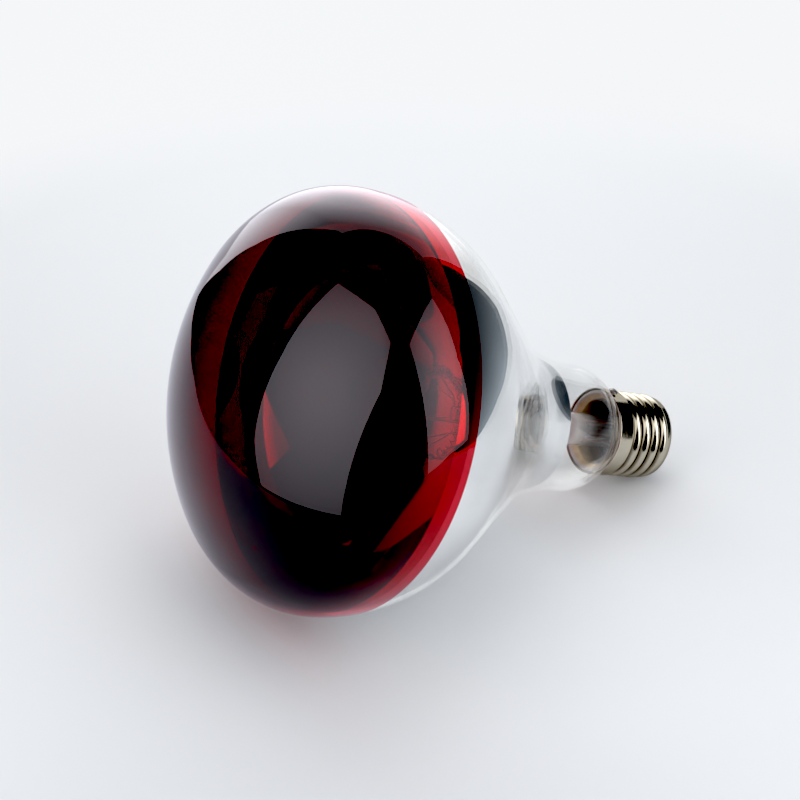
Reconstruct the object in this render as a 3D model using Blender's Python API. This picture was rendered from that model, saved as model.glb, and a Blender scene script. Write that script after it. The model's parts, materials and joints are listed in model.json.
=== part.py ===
"""Infrared reflector heat lamp: a 125 mm blown glass reflector bulb with a ruby front,
an internal mirror, a stem with its tungsten filament, and an E27 screw cap.

The lamp lies on a table as it does when it is put down, on the glass just behind its
rim and on the end of its cap.  +Z is up, the cap points along +Y and slopes down, and
the origin is the centre of the bottom of the bounding box.  Everything is first built
around the lamp's own axis: local +Z runs from the front of the glass to the cap, and
local +Y points down at the table.
"""
import math
from math import cos, pi, radians, sin

import bmesh
import bpy
from mathutils import Matrix, Vector

for stale in list(bpy.data.objects):
    bpy.data.objects.remove(stale, do_unlink=True)

# ---------------------------------------------------------------- driving dimensions (metres)
GAP = 0.0003                    # clearance between pieces that touch

# glass envelope: arcs of the outside, from the front of the dome to the neck
RIM_RADIUS = 0.0625             # R125 bulb
DOME_RADIUS = 0.084
DOME_ANGLE = radians(39.5)      # where the dome meets the rim's arc
RIM_BACK_RADIUS = 0.052
FUNNEL_ANGLE = radians(40)      # slope of the straight part of the funnel
NECK_ARC_RADIUS = 0.050
NECK_RADIUS = 0.0196
SHOULDER_RADIUS = 0.016
TAIL_RADIUS = 0.0100            # drawn-in end of the neck, inside the cap
TAIL_END_FROM_MOUTH = 0.0114
GLASS_INSET = 0.0013            # depth of the inner surface below the outside
RED_BACK_ANGLE = radians(10)    # the ruby coating ends this far behind the rim, on the back arc
MIRROR_FRONT_ANGLE = radians(3)
MIRROR_BACK_ANGLE = radians(13.5)
SKIN = 0.0002                   # thickness that the coatings are built with

# E27 cap
CAP_FROM_NECK = 0.01345         # neck plane to the mouth of the cap
SKIRT_RADIUS = 0.0134
THREAD_CREST = 0.01315
THREAD_ROOT = 0.01225
THREAD_PITCH = 0.0254 / 7
CREST_FROM_MOUTH = 0.0081       # first crest, on the side THREAD_START_ANGLE
THREAD_START_ANGLE = radians(-20)
SHEET = 0.00035
LIP_RADIUS = 0.0115             # the shell's end, turned in over the insulator
INSULATOR_BORE = 0.0012
EYELET_THICK = 0.0005
CONTACT_RADIUS = 0.0054
LAMP_END = 0.0262               # from the mouth to the end of the centre contact

# stem
TUBE_RADIUS = 0.0050            # glass tube of the flare
TUBE_WALL = 0.0009
FLARE_RADIUS = 0.0036           # bend of the trumpet
FLARE_CORNER = 0.0018
FLARE_TOP_FROM_MOUTH = -0.0116
FLARE_FLOOR_THICK = 0.0025
PRESS_TOP_FROM_MOUTH = -0.0223
PRESS_HALF_THICK = 0.0017
PRESS_HALF_WIDTH = 0.0046
LEAD_OFFSET = 0.0032            # each lead from the axis, in the press
LEAD_RADIUS = 0.0004
LEAD_BORE = 0.00075
EXHAUST_RADIUS = 0.0019
EXHAUST_BORE = 0.0011
EXHAUST_TIP_FROM_MOUTH = 0.0168
ARBOR_RADIUS = 0.0014
BUTTON_RADIUS = 0.0025
BUTTON_FLAT_ANGLE = radians(55)
OUTER_LEAD_RADIUS = 0.0003
SIDE_LEAD_LINE = 0.01075        # radius at which the side lead runs back along the neck

# filament
FILAMENT_Z = 0.078              # plane of the filament, behind the front of the dome
FILAMENT_RING = 0.013
COIL_RADIUS = 0.0007
COIL_WIRE = 0.00013
COIL_TURNS = 28
COIL_TAIL = 0.0034              # straight end of the tungsten wire
FILAMENT_GAP_ANGLE = radians(34)    # half the opening of the horseshoe
BUTTON_FROM_FILAMENT = 0.0190
SUPPORT_COUNT = 4
SUPPORT_RADIUS = 0.00025
LOOP_RADIUS = 0.0014
CLAMP_BORE = 0.00075
CLAMP_RADIUS = 0.00105
CLAMP_FROM_FILAMENT = 0.0018
CLAMP_LENGTH = 0.0040

BULB_SIDES = 40
CAP_SIDES = 32
SMALL_SIDES = 20
ROWS_PER_PITCH = 5

# ---------------------------------------------------------------- places that follow from them
RIM_FRONT_RADIUS = (RIM_RADIUS - DOME_RADIUS * sin(DOME_ANGLE)) / (1 - sin(DOME_ANGLE))
RIM_Z = DOME_RADIUS * (1 - cos(DOME_ANGLE)) + RIM_FRONT_RADIUS * cos(DOME_ANGLE)
RIM_BACK_CENTRE = RIM_RADIUS - RIM_BACK_RADIUS
CONE_DROP = (RIM_BACK_CENTRE + RIM_BACK_RADIUS * cos(FUNNEL_ANGLE)
             - NECK_RADIUS - NECK_ARC_RADIUS * (1 - cos(FUNNEL_ANGLE)))
NECK_Z = (RIM_Z + (RIM_BACK_RADIUS + NECK_ARC_RADIUS) * sin(FUNNEL_ANGLE)
          + CONE_DROP / math.tan(FUNNEL_ANGLE))
MOUTH_Z = NECK_Z + CAP_FROM_NECK
SHOULDER_CENTRE = NECK_RADIUS - SHOULDER_RADIUS
TAIL_ANGLE = math.acos((TAIL_RADIUS - SHOULDER_CENTRE) / SHOULDER_RADIUS)
TAIL_END_Z = MOUTH_Z + TAIL_END_FROM_MOUTH
INSULATOR_START = MOUTH_Z + 0.0195
INSULATOR_END_Z = MOUTH_Z + 0.0245

FLANGE_Z = TAIL_END_Z + GAP
FLARE_TOP_Z = MOUTH_Z + FLARE_TOP_FROM_MOUTH    # closed end of the tube, where the press begins
FLARE_FLOOR_Z = FLARE_TOP_Z + FLARE_FLOOR_THICK
PRESS_TOP_Z = MOUTH_Z + PRESS_TOP_FROM_MOUTH
EXHAUST_TIP_Z = MOUTH_Z + EXHAUST_TIP_FROM_MOUTH
BUTTON_Z = FILAMENT_Z + BUTTON_FROM_FILAMENT
CLAMP_START = FILAMENT_Z + CLAMP_FROM_FILAMENT
CLAMP_END = CLAMP_START + CLAMP_LENGTH

# the shell's end, on which the cap rests, and the slope at which bulb and cap both touch the table
SHELL_END = (0.0126, MOUTH_Z + 0.0204)
REST_RUN = SHELL_END[1] - RIM_Z
REST_RISE = SHELL_END[0] - RIM_BACK_CENTRE
TILT = math.asin(RIM_BACK_RADIUS / math.hypot(REST_RUN, REST_RISE)) - math.atan2(REST_RISE, REST_RUN)


# ---------------------------------------------------------------- helpers
def material(name, colour, roughness, metallic=0.0, transmission=0.0):
    """One Principled BSDF material."""
    result = bpy.data.materials.new(name)
    result.use_nodes = True
    shader = result.node_tree.nodes["Principled BSDF"]
    shader.inputs["Base Color"].default_value = (*colour, 1.0)
    shader.inputs["Roughness"].default_value = roughness
    shader.inputs["Metallic"].default_value = metallic
    shader.inputs["Transmission Weight"].default_value = transmission
    result.diffuse_color = (*colour, 1.0)
    return result


lamp_axis = bpy.data.objects.new("lamp_axis", None)
bpy.context.collection.objects.link(lamp_axis)
lamp_axis.rotation_euler = (-(pi / 2 + TILT), 0, 0)


def place(name, data, finish):
    """Put mesh or curve data on the lamp's axis as one named part."""
    part = bpy.data.objects.new(name, data)
    data.materials.append(finish)
    bpy.context.collection.objects.link(part)
    part.parent = lamp_axis
    return part


def smooth(data, crease=radians(35)):
    data.shade_smooth()
    data.set_sharp_from_angle(angle=crease)


def turned(name, profile, finish, sides=SMALL_SIDES):
    """A closed profile of (radius, z) points turned around the axis.

    The flats of the turned shape have the profile's radius, and one flat faces the table.
    """
    bm = bmesh.new()
    half = pi / sides
    corner = 1 / cos(half)
    verts = [bm.verts.new((r * corner, 0, z)) for r, z in profile]
    edges = [bm.edges.new(pair) for pair in zip(verts, verts[1:])]
    if profile[0][0] > 0:
        edges.append(bm.edges.new((verts[-1], verts[0])))
    bmesh.ops.rotate(bm, verts=verts, cent=(0, 0, 0),
                     matrix=Matrix.Rotation(pi / 2 + half, 3, "Z"))
    bmesh.ops.spin(bm, geom=verts + edges, cent=(0, 0, 0), axis=(0, 0, 1),
                   angle=2 * pi, steps=sides, use_merge=True)
    bmesh.ops.remove_doubles(bm, verts=bm.verts, dist=1e-6)
    bmesh.ops.recalc_face_normals(bm, faces=bm.faces)
    mesh = bpy.data.meshes.new(name)
    bm.to_mesh(mesh)
    bm.free()
    smooth(mesh)
    return place(name, mesh, finish)


def arc(centre, radius, start, end, steps):
    """(radius, z) points on an arc; angles run from the outward radial direction towards +z."""
    centre_r, centre_z = centre
    angles = [start + (end - start) * i / steps for i in range(steps + 1)]
    return [(centre_r + radius * cos(a), centre_z + radius * sin(a)) for a in angles]


def wire(name, points, radius, finish, resolution=1):
    """A round wire through the points, with filled ends."""
    curve = bpy.data.curves.new(name, "CURVE")
    curve.dimensions = "3D"
    curve.bevel_depth = radius
    curve.bevel_resolution = resolution
    curve.use_fill_caps = True
    spline = curve.splines.new("POLY")
    spline.points.add(len(points) - 1)
    for slot, point in zip(spline.points, points):
        slot.co = (*point, 1)
    return place(name, curve, finish)


def eased(points, bend, steps=4):
    """Round each inner corner of a path with a short quadratic bend."""
    points = [Vector(p) for p in points]
    path = [points[0]]
    for before, corner, after in zip(points, points[1:], points[2:]):
        start = corner + (before - corner).normalized() * bend
        end = corner + (after - corner).normalized() * bend
        for i in range(steps + 1):
            t = i / steps
            path.append(start.lerp(corner, t).lerp(corner.lerp(end, t), t))
    return path + [points[-1]]


def cut(part, cutter_name, size, centre):
    """Cut a box out of a part."""
    bpy.ops.mesh.primitive_cube_add(size=1, location=(0, 0, 0))
    cutter = bpy.context.object
    cutter.name = cutter_name
    for vertex in cutter.data.vertices:
        vertex.co = Vector(centre) + Vector(a * b for a, b in zip(vertex.co, size))
    combine(part, cutter, "DIFFERENCE")


def drill(part, cutter_name, radius, start, end, sides=12):
    """Drill a round hole between two points."""
    start, end = Vector(start), Vector(end)
    bpy.ops.mesh.primitive_cylinder_add(vertices=sides, radius=radius, depth=(end - start).length)
    cutter = bpy.context.object
    cutter.name = cutter_name
    turn = Vector((0, 0, 1)).rotation_difference(end - start)
    for vertex in cutter.data.vertices:
        vertex.co = (start + end) / 2 + turn @ vertex.co
    combine(part, cutter, "DIFFERENCE")


def combine(part, tool, operation):
    """Join a guide shape to a part, or take it away; the guide itself is left out of the model."""
    tool.parent = lamp_axis
    tool.hide_render = True
    tool.display_type = "WIRE"
    boolean = part.modifiers.new(tool.name, "BOOLEAN")
    boolean.operation = operation
    boolean.solver = "EXACT"
    boolean.object = tool


# ---------------------------------------------------------------- materials
clear_glass = material("clear_glass", (0.93, 0.95, 0.95), 0.03, transmission=1.0)
red_glass = material("red_glass", (0.45, 0.01, 0.02), 0.03, transmission=0.6)
mirror_film = material("mirror_film", (0.90, 0.91, 0.92), 0.04, metallic=1.0)
nickel_plate = material("nickel_plate", (0.78, 0.75, 0.69), 0.16, metallic=1.0)
nickel_wire = material("nickel_wire", (0.66, 0.64, 0.60), 0.28, metallic=1.0)
copper_wire = material("copper_wire", (0.72, 0.40, 0.26), 0.30, metallic=1.0)
molybdenum = material("molybdenum", (0.50, 0.50, 0.51), 0.35, metallic=1.0)
tungsten = material("tungsten", (0.30, 0.30, 0.31), 0.40, metallic=1.0)
cement_tan = material("cement_tan", (0.46, 0.37, 0.27), 0.90)
black_glass = material("black_glass", (0.012, 0.014, 0.022), 0.10)
solder = material("solder", (0.50, 0.51, 0.52), 0.34, metallic=1.0)


# ---------------------------------------------------------------- glass envelope and coatings
def glass_line(inset):
    """The bulb's outline at a depth below its outside, as six stretches of points."""
    dome = arc((0, DOME_RADIUS), DOME_RADIUS - inset, -pi / 2, DOME_ANGLE - pi / 2, 5)
    dome[0] = (0, inset)
    rim_front = arc((RIM_RADIUS - RIM_FRONT_RADIUS, RIM_Z), RIM_FRONT_RADIUS - inset,
                    DOME_ANGLE - pi / 2, 0, 4)
    back_centre = (RIM_BACK_CENTRE, RIM_Z)
    back_radius = RIM_BACK_RADIUS - inset
    neck_centre = (NECK_RADIUS + NECK_ARC_RADIUS, NECK_Z)
    neck_radius = -NECK_ARC_RADIUS - inset
    return {
        "front": dome + rim_front[1:] + [arc(back_centre, back_radius, 0, MIRROR_FRONT_ANGLE, 1)[1]],
        "red_back": arc(back_centre, back_radius, MIRROR_FRONT_ANGLE, RED_BACK_ANGLE, 1),
        "funnel": arc(back_centre, back_radius, RED_BACK_ANGLE, FUNNEL_ANGLE, 4),
        "waist": arc(neck_centre, neck_radius, FUNNEL_ANGLE, MIRROR_BACK_ANGLE, 3),
        "neck": arc(neck_centre, neck_radius, MIRROR_BACK_ANGLE, 0, 1),
        "shoulder": arc((SHOULDER_CENTRE, NECK_Z), SHOULDER_RADIUS - inset, 0, TAIL_ANGLE, 4),
    }


def skin_line(inset, *stretches):
    line = glass_line(inset)
    return [point for stretch in stretches for point in line[stretch]]


def without_repeats(points):
    return [p for i, p in enumerate(points) if i == 0 or math.dist(p, points[i - 1]) > 1e-7]


def glass_envelope():
    """Blown bulb, set back under the ruby coating and open where the stem is sealed in."""
    step = SKIN + GAP
    outside = (skin_line(step, "front", "red_back")
               + skin_line(0, "funnel", "waist", "neck", "shoulder") + [(TAIL_RADIUS, TAIL_END_Z)])
    inner_tail = TAIL_RADIUS - GLASS_INSET
    inside = (skin_line(GLASS_INSET, "front", "red_back", "funnel", "waist", "neck", "shoulder")
              + [(inner_tail, MOUTH_Z + 0.0022), (inner_tail, TAIL_END_Z)])
    turned("glass_envelope", without_repeats(outside + inside[::-1]), clear_glass, BULB_SIDES)


def red_front_coating():
    """Ruby layer over the dome and the rim, with a clean edge just behind the widest part."""
    outside = skin_line(0, "front", "red_back")
    inside = skin_line(SKIN, "front", "red_back")
    turned("red_front_coating", without_repeats(outside + inside[::-1]), red_glass, BULB_SIDES)


def mirror_coating():
    """Aluminium film inside the funnel; it starts behind the rim and stops short of the neck."""
    outside = skin_line(GLASS_INSET + GAP, "red_back", "funnel", "waist")
    inside = skin_line(GLASS_INSET + GAP + SKIN, "red_back", "funnel", "waist")
    turned("mirror_coating", without_repeats(outside + inside[::-1]), mirror_film, BULB_SIDES)


# ---------------------------------------------------------------- stem
def stem_flare():
    """Trumpet tube sealed to the neck, pinched flat at its top around the leads."""
    bend_centre = (TUBE_RADIUS + FLARE_RADIUS, FLANGE_Z - FLARE_RADIUS)
    outside = arc(bend_centre, -FLARE_RADIUS, 0, -pi / 2, 4)
    inside = arc(bend_centre, -FLARE_RADIUS - TUBE_WALL, 0, -pi / 2, 4)
    inner = TUBE_RADIUS - TUBE_WALL
    profile = ([(0, FLARE_TOP_Z), (TUBE_RADIUS - FLARE_CORNER, FLARE_TOP_Z),
                (TUBE_RADIUS, FLARE_TOP_Z + FLARE_CORNER)] + outside
               + [(TAIL_RADIUS, FLANGE_Z), (TAIL_RADIUS, FLANGE_Z + TUBE_WALL)] + inside[::-1]
               + [(inner, FLARE_FLOOR_Z + FLARE_CORNER / 2),
                  (inner - FLARE_CORNER / 2, FLARE_FLOOR_Z), (0, FLARE_FLOOR_Z)])
    flare = turned("stem_flare", without_repeats(profile), clear_glass)
    join_press(flare)
    bore_stem(flare)


def join_press(flare):
    """Flattened top of the stem, rounded at its narrow sides."""
    length = (FLARE_TOP_Z + FLARE_FLOOR_Z) / 2 - PRESS_TOP_Z
    bm = bmesh.new()
    bmesh.ops.create_cube(bm, size=1)
    for vertex in bm.verts:
        vertex.co = (vertex.co.x * 2 * PRESS_HALF_THICK, vertex.co.y * 2 * PRESS_HALF_WIDTH,
                     PRESS_TOP_Z + (vertex.co.z + 0.5) * length)
    upright = [e for e in bm.edges if abs(e.verts[0].co.z - e.verts[1].co.z) > length / 2]
    bmesh.ops.bevel(bm, geom=upright, offset=PRESS_HALF_THICK * 0.8, segments=3, profile=0.5,
                    affect="EDGES")
    mesh = bpy.data.meshes.new("press")
    bm.to_mesh(mesh)
    bm.free()
    press = bpy.data.objects.new("press", mesh)
    bpy.context.collection.objects.link(press)
    combine(flare, press, "UNION")


def bore_stem(flare):
    """Bores for the two leads, and the pumping channel with its side hole into the bulb."""
    for side in (-1, 1):
        y = side * LEAD_OFFSET
        drill(flare, f"lead_bore_{side}", LEAD_BORE,
              (0, y, PRESS_TOP_Z - 0.001), (0, y, FLARE_FLOOR_Z + 0.002))
    hole_z = FLARE_TOP_Z - 0.003
    reach = 2 * PRESS_HALF_THICK
    drill(flare, "exhaust_bore", EXHAUST_BORE,
          (0, 0, hole_z - EXHAUST_BORE), (0, 0, FLARE_FLOOR_Z + 0.001))
    drill(flare, "exhaust_hole", EXHAUST_BORE * 0.8, (-reach, 0, hole_z), (reach, 0, hole_z))


def exhaust_tube():
    """Pumping tube inside the flare, open to the stem and melted shut at its tip."""
    start = FLARE_FLOOR_Z + GAP
    tip = EXHAUST_TIP_Z
    inner_tip = tip - 2 * EXHAUST_BORE
    outside = [(0, tip)] + arc((0, tip - EXHAUST_RADIUS), EXHAUST_RADIUS, pi / 2, 0, 4)[1:]
    inside = arc((0, inner_tip - EXHAUST_BORE), EXHAUST_BORE, 0, pi / 2, 3)[:-1] + [(0, inner_tip)]
    turned("exhaust_tube", outside + [(EXHAUST_RADIUS, start), (EXHAUST_BORE, start)] + inside,
           clear_glass, 16)


def arbor():
    """Glass cane above the press and the button that holds the support wires."""
    front = BUTTON_Z + BUTTON_RADIUS * sin(BUTTON_FLAT_ANGLE) + GAP
    turned("arbor_rod", [(0, front), (ARBOR_RADIUS, front), (ARBOR_RADIUS, PRESS_TOP_Z - GAP),
                         (0, PRESS_TOP_Z - GAP)], clear_glass, 12)
    ball = arc((0, BUTTON_Z), BUTTON_RADIUS, -pi / 2, BUTTON_FLAT_ANGLE, 6)
    turned("arbor_button", [(0, BUTTON_Z - BUTTON_RADIUS)] + ball[1:] + [(0, ball[-1][1])],
           clear_glass, 16)


# ---------------------------------------------------------------- filament and wires
def around(angle, radius, z):
    return Vector((radius * cos(angle), radius * sin(angle), z))


def filament_angle(share):
    """Angle along the horseshoe; its opening faces local -X."""
    start = -pi + FILAMENT_GAP_ANGLE
    return start + share * 2 * (pi - FILAMENT_GAP_ANGLE)


def filament():
    """Coiled tungsten wire bent to a horseshoe, with a straight tail at each end."""
    steps_per_turn = 5
    steps = COIL_TURNS * steps_per_turn
    path = [around(filament_angle(0), FILAMENT_RING, FILAMENT_Z + COIL_TAIL)]
    for i in range(steps + 1):
        phase = pi / 2 + 2 * pi * i / steps_per_turn
        swell = min(i, steps - i, steps_per_turn) / steps_per_turn
        reach = COIL_RADIUS * swell
        angle = filament_angle(i / steps)
        path.append(around(angle, FILAMENT_RING + reach * cos(phase), FILAMENT_Z - reach * sin(phase)))
    path.append(around(filament_angle(1), FILAMENT_RING, FILAMENT_Z + COIL_TAIL))
    wire("filament", path, COIL_WIRE, tungsten, resolution=0)


def support_wires():
    """Molybdenum wires from the button, each ending in an open loop around the coil."""
    for index in range(SUPPORT_COUNT):
        angle = filament_angle((index + 0.5) / SUPPORT_COUNT)
        path = [around(angle, BUTTON_RADIUS + 2 * GAP, BUTTON_Z),
                around(angle, 2 * BUTTON_RADIUS, BUTTON_Z - BUTTON_RADIUS / 3)]
        for step in range(11):
            turn = radians(120 - 29 * step)
            path.append(around(angle, FILAMENT_RING + LOOP_RADIUS * cos(turn),
                               FILAMENT_Z + LOOP_RADIUS * sin(turn)))
        wire(f"support_wire_{index + 1}", path, SUPPORT_RADIUS, molybdenum)


def leads():
    """Inner leads with crimped clamps, seal wires through the press, and outer leads."""
    seal_end = FLARE_FLOOR_Z + 0.0022
    for label, side in (("a", -1), ("b", 1)):
        end = filament_angle(0 if side < 0 else 1)
        top = around(end, FILAMENT_RING, FILAMENT_Z + COIL_TAIL + GAP)
        clamp = turned(f"filament_clamp_{label}",
                       [(CLAMP_BORE, CLAMP_START), (CLAMP_RADIUS, CLAMP_START),
                        (CLAMP_RADIUS, CLAMP_END), (CLAMP_BORE, CLAMP_END)], nickel_wire, 12)
        clamp.location = (top.x, top.y, 0)
        wire(f"inner_lead_{label}",
             eased([top, (top.x, top.y, CLAMP_END + 0.006), (0, side * LEAD_OFFSET, PRESS_TOP_Z - 0.005),
                    (0, side * LEAD_OFFSET, PRESS_TOP_Z - GAP)], 0.003),
             LEAD_RADIUS, nickel_wire)
        wire(f"seal_wire_{label}",
             [(0, side * LEAD_OFFSET, PRESS_TOP_Z), (0, side * LEAD_OFFSET, seal_end)],
             LEAD_RADIUS, copper_wire)

    start = seal_end + GAP
    turn_z = FLANGE_Z + TUBE_WALL + 4 * OUTER_LEAD_RADIUS
    exit_z = MOUTH_Z + 0.0009
    wire("outer_lead_contact",
         eased([(0, LEAD_OFFSET, start), (0, LEAD_OFFSET, EXHAUST_TIP_Z - 2 * OUTER_LEAD_RADIUS),
                (0, 0, INSULATOR_START - 2 * OUTER_LEAD_RADIUS),
                (0, 0, INSULATOR_END_Z + GAP + EYELET_THICK)], 0.0008),
         OUTER_LEAD_RADIUS, copper_wire)
    wire("outer_lead_side",
         eased([(0, -LEAD_OFFSET, start), (0, -LEAD_OFFSET, FLANGE_Z),
                (0, -TAIL_RADIUS * 0.7, turn_z), (0, -SIDE_LEAD_LINE, turn_z),
                (0, -SIDE_LEAD_LINE, exit_z + 0.0015), (0, -0.0125, exit_z),
                (0, -SKIRT_RADIUS, exit_z)], 0.0008),
         OUTER_LEAD_RADIUS, copper_wire)


# ---------------------------------------------------------------- cap
def shell_radius(z, angle):
    """Outside of the rolled screw shell: a plain skirt, then the round E27 thread."""
    middle = (THREAD_CREST + THREAD_ROOT) / 2
    depth = (THREAD_CREST - THREAD_ROOT) / 2
    along = z - MOUTH_Z
    skirt = fade(along, 0.0062, 0.0048)
    fade_out = fade(along, 0.0203, 0.0178)
    crest = CREST_FROM_MOUTH + THREAD_PITCH * (angle - THREAD_START_ANGLE) / (2 * pi)
    wave = cos(2 * pi * (along - crest) / THREAD_PITCH)
    thread = middle + depth * wave * (1 - skirt) * fade_out
    return SKIRT_RADIUS * skirt + thread * (1 - skirt)


def fade(value, at_zero, at_one):
    """Smooth step from 0 at at_zero to 1 at at_one."""
    t = min(max((value - at_zero) / (at_one - at_zero), 0), 1)
    return t * t * (3 - 2 * t)


def screw_shell():
    """Thin nickel-plated brass shell, open at both ends, its thread rolled through the sheet."""
    rows = [0.0, 0.0040, 0.0050]
    row = 0.0055
    while row < 0.0200:
        rows.append(row)
        row += THREAD_PITCH / ROWS_PER_PITCH
    shoulder = SHELL_END[1] - MOUTH_Z
    lip = [(SHELL_END[0], shoulder), ((SHELL_END[0] + LIP_RADIUS) / 2, shoulder + 0.0009),
           (LIP_RADIUS, shoulder + 0.0014)]
    half = pi / CAP_SIDES
    corner = 1 / cos(half)
    angles = [pi / 2 + half + 2 * pi * i / CAP_SIDES for i in range(CAP_SIDES)]

    def ring(bm, z, inset, fixed=None):
        return [bm.verts.new(around(a, ((fixed or shell_radius(z, a)) - inset) * corner, z))
                for a in angles]

    bm = bmesh.new()
    outside = [ring(bm, MOUTH_Z + z, 0) for z in rows]
    outside += [ring(bm, MOUTH_Z + z, 0, r) for r, z in lip]
    inside = [ring(bm, MOUTH_Z + z, SHEET) for z in rows]
    inside += [ring(bm, MOUTH_Z + z - 0.0003, 0.0002, r) for r, z in lip]
    rings = outside + inside[::-1]
    for lower, upper in zip(rings, rings[1:] + rings[:1]):
        for i in range(CAP_SIDES):
            j = (i + 1) % CAP_SIDES
            bm.faces.new((lower[i], lower[j], upper[j], upper[i]))
    bmesh.ops.recalc_face_normals(bm, faces=bm.faces)
    mesh = bpy.data.meshes.new("screw_shell")
    bm.to_mesh(mesh)
    bm.free()
    smooth(mesh, radians(60))
    shell = place("screw_shell", mesh, nickel_plate)
    cut(shell, "lead_notch", (0.0016, 0.004, 0.0034), (0, -SKIRT_RADIUS, MOUTH_Z))


def basing_cement():
    """Cement between the drawn-in neck and the shell, slotted for the side lead."""
    start = MOUTH_Z + 0.0004
    end = MOUTH_Z + 0.0110
    bore = TAIL_RADIUS + GAP
    core = THREAD_ROOT - SHEET - GAP
    skirt = SKIRT_RADIUS - SHEET - GAP
    profile = [(0.0121, start), (skirt, start), (skirt, MOUTH_Z + 0.0043),
               (core, MOUTH_Z + 0.0056), (core, end), (bore, end), (bore, MOUTH_Z + 0.0022)]
    ring = turned("basing_cement", profile, cement_tan, CAP_SIDES)
    cut(ring, "lead_slot", (0.0014, 0.0023, 0.014), (0, -0.0102, MOUTH_Z + 0.006))
    cut(ring, "lead_exit", (0.0014, 0.0060, 0.0050), (0, -0.0115, MOUTH_Z + 0.0005))


def cap_insulator():
    """Black glass that closes the shell and carries the centre contact."""
    inside = LIP_RADIUS - GAP / 3
    throat = LIP_RADIUS - 2 * GAP
    lip_z = SHELL_END[1]
    end = INSULATOR_END_Z
    profile = [(INSULATOR_BORE, INSULATOR_START), (inside, INSULATOR_START), (inside, lip_z - 0.0001),
               (throat, lip_z + 0.0006), (throat, lip_z + 0.0017), (throat - 0.0009, lip_z + 0.0023),
               (CONTACT_RADIUS + 0.0009, end - 0.0002), (CONTACT_RADIUS + 0.0004, end),
               (INSULATOR_BORE, end)]
    turned("cap_insulator", profile, black_glass, CAP_SIDES)


def centre_contact():
    """Plated eyelet in the insulator's end, and the solder that closes it over the lead."""
    start = INSULATOR_END_Z + GAP
    plate_end = start + EYELET_THICK
    bore = INSULATOR_BORE - 0.0002
    turned("contact_eyelet",
           [(bore, start), (CONTACT_RADIUS, start), (CONTACT_RADIUS, plate_end - 0.0002),
            (CONTACT_RADIUS - 0.0003, plate_end), (bore, plate_end)], nickel_plate)
    foot = plate_end + GAP
    top = MOUTH_Z + LAMP_END
    turned("contact_solder",
           [(0, foot), (0.0030, foot), (0.0028, foot + 0.0003), (0.0023, top), (0, top)], solder)


def side_solder():
    """Solder blob on the skirt, over the end of the side lead."""
    bm = bmesh.new()
    bmesh.ops.create_uvsphere(bm, u_segments=14, v_segments=8, radius=1)
    bmesh.ops.bisect_plane(bm, geom=bm.verts[:] + bm.edges[:] + bm.faces[:], dist=1e-7,
                           plane_co=(0, 0.3, 0), plane_no=(0, 1, 0), clear_outer=True)
    bmesh.ops.holes_fill(bm, edges=[e for e in bm.edges if e.is_boundary], sides=0)
    for vertex in bm.verts:
        vertex.co = (vertex.co.x * 0.0015, vertex.co.y * 0.0008, vertex.co.z * 0.0013)
        vertex.co += Vector((0, -SKIRT_RADIUS - GAP - 0.0004, MOUTH_Z + 0.0011))
    bmesh.ops.recalc_face_normals(bm, faces=bm.faces)
    mesh = bpy.data.meshes.new("side_solder")
    bm.to_mesh(mesh)
    bm.free()
    smooth(mesh)
    place("side_solder", mesh, solder)


# ---------------------------------------------------------------- build
def stand_on_origin():
    """Move the lamp so that its box stands on z = 0, centred on the origin."""
    bpy.context.view_layer.update()
    graph = bpy.context.evaluated_depsgraph_get()
    low, high = Vector((1, 1, 1)), Vector((-1, -1, -1))
    for part in lamp_axis.children:
        if part.hide_render:
            continue
        shape = part.evaluated_get(graph)
        for vertex in shape.to_mesh().vertices:
            point = shape.matrix_world @ vertex.co
            low = Vector(map(min, low, point))
            high = Vector(map(max, high, point))
        shape.to_mesh_clear()
    lamp_axis.location = (-(low.x + high.x) / 2, -(low.y + high.y) / 2, -low.z)


glass_envelope()
red_front_coating()
mirror_coating()
stem_flare()
exhaust_tube()
arbor()
support_wires()
filament()
leads()
screw_shell()
basing_cement()
cap_insulator()
centre_contact()
side_solder()
stand_on_origin()
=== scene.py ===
"""Looks of the infrared reflector heat lamp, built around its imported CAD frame.

Every piece is made around the lamp's own axis: local +Z runs from the front of the glass
to the cap, local +Y points down at the table, and the local origin is the front of the
dome.  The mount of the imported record, the lamp's centre contact, says where that axis is.
Lengths are in metres.
"""

import json
import math
from math import cos, pi, radians, sin

import bmesh
import bpy
from mathutils import Matrix, Vector, noise


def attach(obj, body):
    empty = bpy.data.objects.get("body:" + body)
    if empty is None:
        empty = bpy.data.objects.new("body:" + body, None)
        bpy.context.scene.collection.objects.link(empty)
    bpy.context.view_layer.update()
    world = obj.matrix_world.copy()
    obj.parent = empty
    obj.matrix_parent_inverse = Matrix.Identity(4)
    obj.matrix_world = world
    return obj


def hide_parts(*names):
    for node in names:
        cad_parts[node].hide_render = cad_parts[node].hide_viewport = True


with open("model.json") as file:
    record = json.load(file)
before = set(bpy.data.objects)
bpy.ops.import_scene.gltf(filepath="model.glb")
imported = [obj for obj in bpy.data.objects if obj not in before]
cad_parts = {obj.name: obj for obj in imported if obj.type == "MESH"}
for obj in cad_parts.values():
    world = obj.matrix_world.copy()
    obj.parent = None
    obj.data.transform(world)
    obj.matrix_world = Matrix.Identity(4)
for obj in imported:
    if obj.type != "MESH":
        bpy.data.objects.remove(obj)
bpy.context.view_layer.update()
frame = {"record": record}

# -------- driving dimensions
# glass envelope, as in the CAD
RIM_RADIUS = 0.0625
DOME_RADIUS = 0.084
DOME_ANGLE = radians(39.5)
RIM_BACK_RADIUS = 0.052
FUNNEL_ANGLE = radians(40)
NECK_ARC_RADIUS = 0.050
NECK_RADIUS = 0.0196
SHOULDER_RADIUS = 0.016
TAIL_RADIUS = 0.0100
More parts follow.
